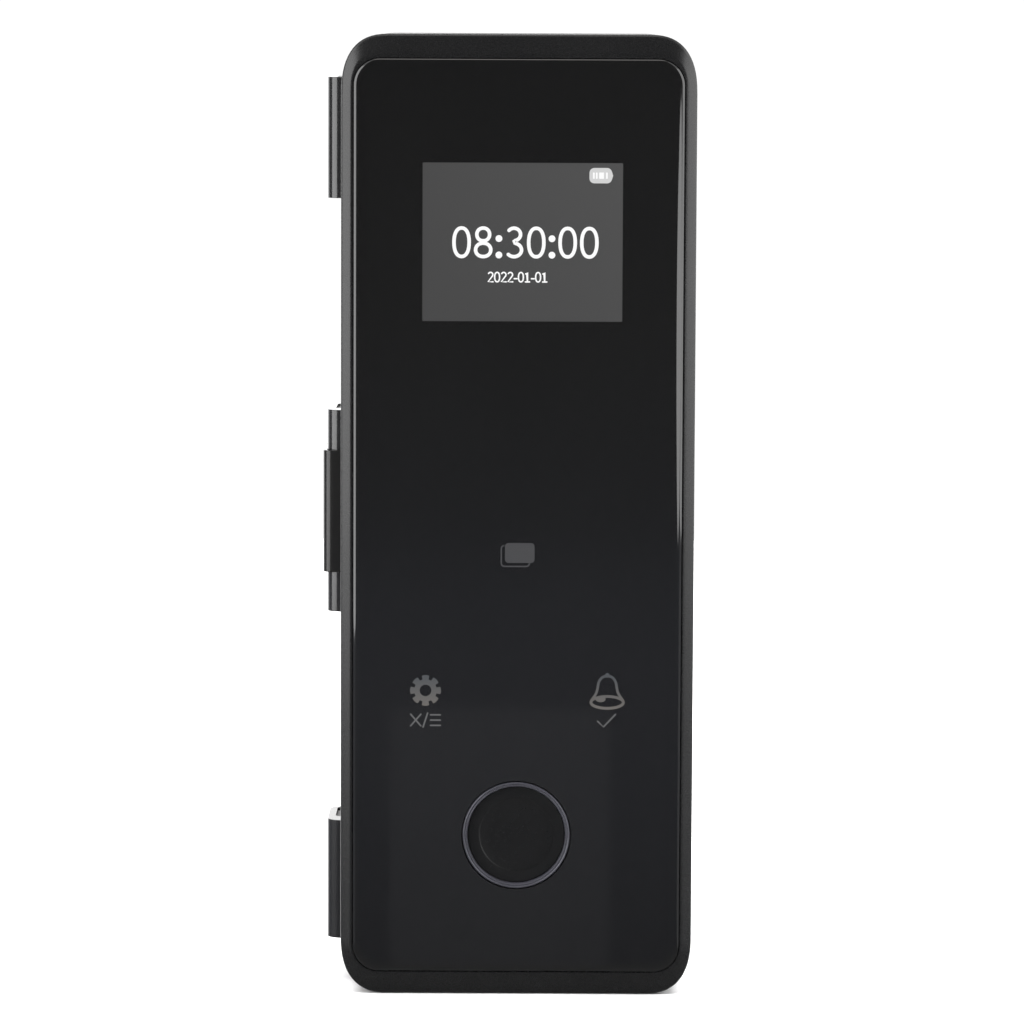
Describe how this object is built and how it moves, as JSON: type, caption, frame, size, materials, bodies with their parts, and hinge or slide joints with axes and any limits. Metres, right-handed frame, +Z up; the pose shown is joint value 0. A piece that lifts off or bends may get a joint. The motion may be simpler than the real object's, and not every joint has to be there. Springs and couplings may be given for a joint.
{
  "type": "glass door fingerprint lock",
  "caption": "Clip-on electronic lock for a frameless glass door: clock screen, touch keys and fingerprint reader in front; knob, bolt and batteries behind.",
  "frame": {"origin": "centre of the front unit's pad, on the front face of the door glass", "axes": "+X to the right seen from the front, +Y through the door glass to the rear, +Z up; the bolt moves along -X"},
  "size_m": [0.0737, 0.0761, 0.19],
  "materials": {
    "housing_black": "satin black anodised, fine bead-blasted grain",
    "housing_rear_black": "fine matt moulded texture",
    "cover_glass": "black-printed tempered glass, polished",
    "screen": "lit grey screen behind glass",
    "light_guide_clear": "frosted acrylic",
    "adhesive_tape": "matt foam tape",
    "circuit_board": "green solder mask",
    "bezel_metal": "dark anodised, turned",
    "sensor_black": "smooth coated",
    "antenna_copper": "etched copper on film",
    "buzzer_black": "moulded",
    "bright_steel": "brushed",
    "zinc_steel": "zinc-plated sheet",
    "bracket_black": "black semi-gloss powder coat",
    "black_screw": "black oxide",
    "brass": "turned",
    "black_rubber": "matt foam rubber",
    "grey_silicone": "soft silicone",
    "ribbon_white": "flexible flat cable",
    "tray_black": "moulded",
    "cell_wrap": "shrink-wrapped cell",
    "contact_nickel": "nickel-plated spring steel",
    "button_silver": "spun, satin",
    "switch_black": "moulded"
  },
  "bodies": {
    "frame": {"front_housing": "housing_black", "glass_panel": "cover_glass", "glass_tape": "adhesive_tape", "display_module": "screen", "light_guide": "light_guide_clear", "touch_key_board": "circuit_board", "fingerprint_bezel": "bezel_metal", "fingerprint_sensor": "sensor_black", "fingerprint_board": "circuit_board", "card_antenna": "antenna_copper", "main_board": "circuit_board", "buzzer": "buzzer_black", "usb_socket": "bright_steel", "front_board_standoffs": "brass", "front_seal": "grey_silicone", "front_back_plate": "zinc_steel", "front_plate_screws": "black_screw", "front_pad": "black_rubber", "top_bracket": "bracket_black", "middle_bracket": "bracket_black", "bottom_bracket": "bracket_black", "cable_cover": "bracket_black", "ribbon_cable": "ribbon_white", "edge_pads": "grey_silicone", "front_bracket_screws": "black_screw", "rear_bracket_screws": "black_screw", "rear_pad": "black_rubber", "rear_base_plate": "zinc_steel", "rear_seal": "grey_silicone", "rear_housing": "housing_rear_black", "rear_plate_screws": "black_screw", "battery_tray": "tray_black", "batteries": "cell_wrap", "battery_contacts": "contact_nickel", "bolt_case": "zinc_steel", "bolt_faceplate": "bright_steel", "faceplate_screws": "bright_steel", "bolt_switches": "switch_black", "shaft_bushes": "brass", "gear_motor": "zinc_steel", "motor_bracket": "zinc_steel", "control_board": "circuit_board", "rear_board_standoffs": "brass", "exit_switch": "switch_black"},
    "deadbolt": {"deadbolt": "bright_steel"},
    "knob": {"drive_gear": "bright_steel", "knob_shaft": "bright_steel", "shaft_clip": "black_screw", "knob": "housing_black", "knob_screw": "black_screw"},
    "pinion": {"motor_pinion": "brass"},
    "battery_cover": {"battery_cover": "housing_rear_black"},
    "exit_button": {"exit_button": "button_silver"}
  },
  "joints": [
    {"name": "bolt_slide", "type": "slide", "parent": "frame", "child": "deadbolt", "axis": [-1, 0, 0], "range_m": [0, 0.014]},
    {"name": "knob_turn", "type": "hinge", "parent": "frame", "child": "knob", "pos_m": [0, 0.0244, -0.017], "axis": [0, -1, 0], "range_deg": [0, 91.4]},
    {"name": "pinion_turn", "type": "hinge", "parent": "frame", "child": "pinion", "pos_m": [0, 0.0244, -0.0306], "axis": [0, 1, 0], "range_deg": [0, 167.6]},
    {"name": "cover_slide", "type": "slide", "parent": "frame", "child": "battery_cover", "axis": [0, 0, 1], "range_m": [0, 0.075]},
    {"name": "button_press", "type": "slide", "parent": "frame", "child": "exit_button", "axis": [0, -1, 0], "range_m": [0, 0.0012], "stiffness_N_per_m": 600, "springref_m": -0.0012}
  ],
  "couplings": [
    {"joint": "knob_turn", "follows": "bolt_slide", "rad_per_m": 113.64},
    {"joint": "pinion_turn", "follows": "bolt_slide", "rad_per_m": 208.33}
  ]
}
